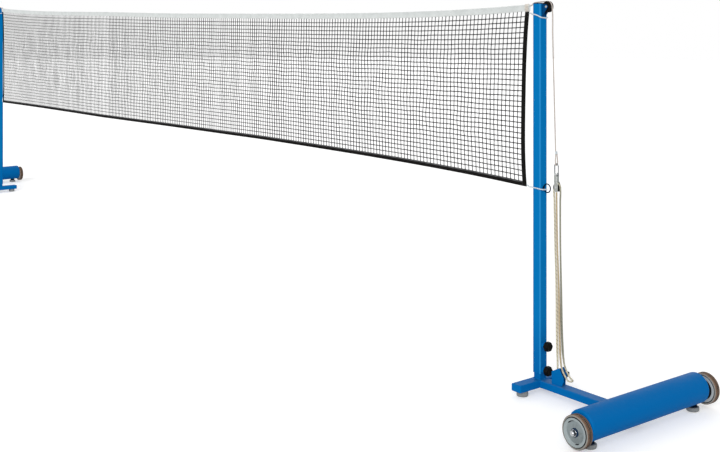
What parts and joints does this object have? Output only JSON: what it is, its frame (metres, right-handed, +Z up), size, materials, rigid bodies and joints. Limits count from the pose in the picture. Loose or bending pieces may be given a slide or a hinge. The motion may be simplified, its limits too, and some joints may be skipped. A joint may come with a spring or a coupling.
{
  "type": "net on movable posts",
  "caption": "Sports net stretched between square posts on weighted, wheeled bases, with rope tackle, cleat, pulleys and clamping knobs.",
  "frame": {"origin": "on the floor, midway between the two posts", "axes": "+X along the net towards the right unit, +Z up, -Y towards the viewer of the picture"},
  "size_m": [7.291, 0.8002, 1.5614],
  "materials": {
    "blue_paint": "blue powder coat",
    "navy_paint": "dark blue powder coat",
    "black_plastic": "moulded black plastic",
    "grey_plastic": "moulded grey plastic",
    "tyre_rubber": "grey-brown rubber",
    "foot_rubber": "grey rubber",
    "bright_steel": "bright zinc",
    "dark_steel": "dark steel",
    "zinc_steel": "dull zinc",
    "white_cord": "braided white cord",
    "beige_cord": "braided beige cord",
    "white_tape": "woven white tape",
    "black_tape": "woven black tape",
    "net_thread": "knotted dark thread"
  },
  "bodies": {
    "stand": {"right_crossbar": "blue_paint", "right_arm": "blue_paint", "right_post": "blue_paint", "right_counterweight": "blue_paint", "right_axle": "bright_steel", "right_crossbar_foot_front": "foot_rubber", "right_crossbar_foot_back": "foot_rubber", "right_weight_foot_front": "foot_rubber", "right_weight_foot_back": "foot_rubber", "right_pulley_bracket": "navy_paint", "right_tie_eye": "dark_steel", "right_cleat": "blue_paint", "right_tension_rope": "white_cord", "right_snap_hook": "bright_steel", "right_tackle_block": "zinc_steel", "right_tackle_rope": "beige_cord", "right_top_tie": "white_cord", "right_bottom_tie": "white_cord", "right_side_tape": "black_tape", "left_crossbar": "blue_paint", "left_arm": "blue_paint", "left_post": "blue_paint", "left_counterweight": "blue_paint", "left_axle": "bright_steel", "left_crossbar_foot_front": "foot_rubber", "left_crossbar_foot_back": "foot_rubber", "left_weight_foot_front": "foot_rubber", "left_weight_foot_back": "foot_rubber", "left_pulley_bracket": "navy_paint", "left_tie_eye": "dark_steel", "left_cleat": "blue_paint", "left_tension_rope": "white_cord", "left_snap_hook": "bright_steel", "left_tackle_block": "zinc_steel", "left_tackle_rope": "beige_cord", "left_top_tie": "white_cord", "left_bottom_tie": "white_cord", "left_side_tape": "black_tape", "net_mesh": "net_thread", "head_tape": "white_tape", "foot_tape": "black_tape"},
    "right_wheel_front": {"right_wheel_rim_front": "grey_plastic", "right_tyre_front": "tyre_rubber"},
    "right_wheel_back": {"right_wheel_rim_back": "grey_plastic", "right_tyre_back": "tyre_rubber"},
    "right_top_sheave": {"right_top_sheave": "black_plastic"},
    "right_block_sheave": {"right_block_sheave": "black_plastic"},
    "right_lower_knob": {"right_lower_knob": "black_plastic"},
    "right_upper_knob": {"right_upper_knob": "black_plastic"},
    "right_hook_gate": {"right_hook_gate": "bright_steel"},
    "left_wheel_front": {"left_wheel_rim_front": "grey_plastic", "left_tyre_front": "tyre_rubber"},
    "left_wheel_back": {"left_wheel_rim_back": "grey_plastic", "left_tyre_back": "tyre_rubber"},
    "left_top_sheave": {"left_top_sheave": "black_plastic"},
    "left_block_sheave": {"left_block_sheave": "black_plastic"},
    "left_lower_knob": {"left_lower_knob": "black_plastic"},
    "left_upper_knob": {"left_upper_knob": "black_plastic"},
    "left_hook_gate": {"left_hook_gate": "bright_steel"}
  },
  "joints": [
    {"name": "right_wheel_front_spin", "type": "hinge", "parent": "stand", "child": "right_wheel_front", "pos_m": [3.586, -0.358, 0.07], "axis": [0, 1, 0], "continuous": true},
    {"name": "right_wheel_back_spin", "type": "hinge", "parent": "stand", "child": "right_wheel_back", "pos_m": [3.586, 0.37, 0.07], "axis": [0, 1, 0], "continuous": true},
    {"name": "right_top_sheave_spin", "type": "hinge", "parent": "stand", "child": "right_top_sheave", "pos_m": [3.1188, 0, 1.5377], "axis": [0, 1, 0], "continuous": true},
    {"name": "right_block_sheave_spin", "type": "hinge", "parent": "stand", "child": "right_block_sheave", "pos_m": [3.1675, 0, 0.825], "axis": [0, 1, 0], "continuous": true},
    {"name": "right_lower_knob_turn", "type": "hinge", "parent": "stand", "child": "right_lower_knob", "pos_m": [3.1033, 0, 0.088], "axis": [1, 0, 0], "range_deg": [0, 720]},
    {"name": "right_upper_knob_turn", "type": "hinge", "parent": "stand", "child": "right_upper_knob", "pos_m": [3.1033, 0, 0.185], "axis": [1, 0, 0], "range_deg": [0, 720]},
    {"name": "right_hook_gate_swing", "type": "hinge", "parent": "stand", "child": "right_hook_gate", "pos_m": [3.1735, 0, 0.886], "axis": [0, -1, 0], "range_deg": [0, 30], "stiffness_Nm_per_rad": 0.02},
    {"name": "left_wheel_front_spin", "type": "hinge", "parent": "stand", "child": "left_wheel_front", "pos_m": [-3.586, -0.37, 0.07], "axis": [0, 1, 0], "continuous": true},
    {"name": "left_wheel_back_spin", "type": "hinge", "parent": "stand", "child": "left_wheel_back", "pos_m": [-3.586, 0.358, 0.07], "axis": [0, 1, 0], "continuous": true},
    {"name": "left_top_sheave_spin", "type": "hinge", "parent": "stand", "child": "left_top_sheave", "pos_m": [-3.1188, 0, 1.5377], "axis": [0, 1, 0], "continuous": true},
    {"name": "left_block_sheave_spin", "type": "hinge", "parent": "stand", "child": "left_block_sheave", "pos_m": [-3.1675, 0, 0.825], "axis": [0, 1, 0], "continuous": true},
    {"name": "left_lower_knob_turn", "type": "hinge", "parent": "stand", "child": "left_lower_knob", "pos_m": [-3.1033, 0, 0.088], "axis": [-1, 0, 0], "range_deg": [0, 720]},
    {"name": "left_upper_knob_turn", "type": "hinge", "parent": "stand", "child": "left_upper_knob", "pos_m": [-3.1033, 0, 0.185], "axis": [-1, 0, 0], "range_deg": [0, 720]},
    {"name": "left_hook_gate_swing", "type": "hinge", "parent": "stand", "child": "left_hook_gate", "pos_m": [-3.1735, 0, 0.886], "axis": [0, 1, 0], "range_deg": [0, 30], "stiffness_Nm_per_rad": 0.02}
  ]
}
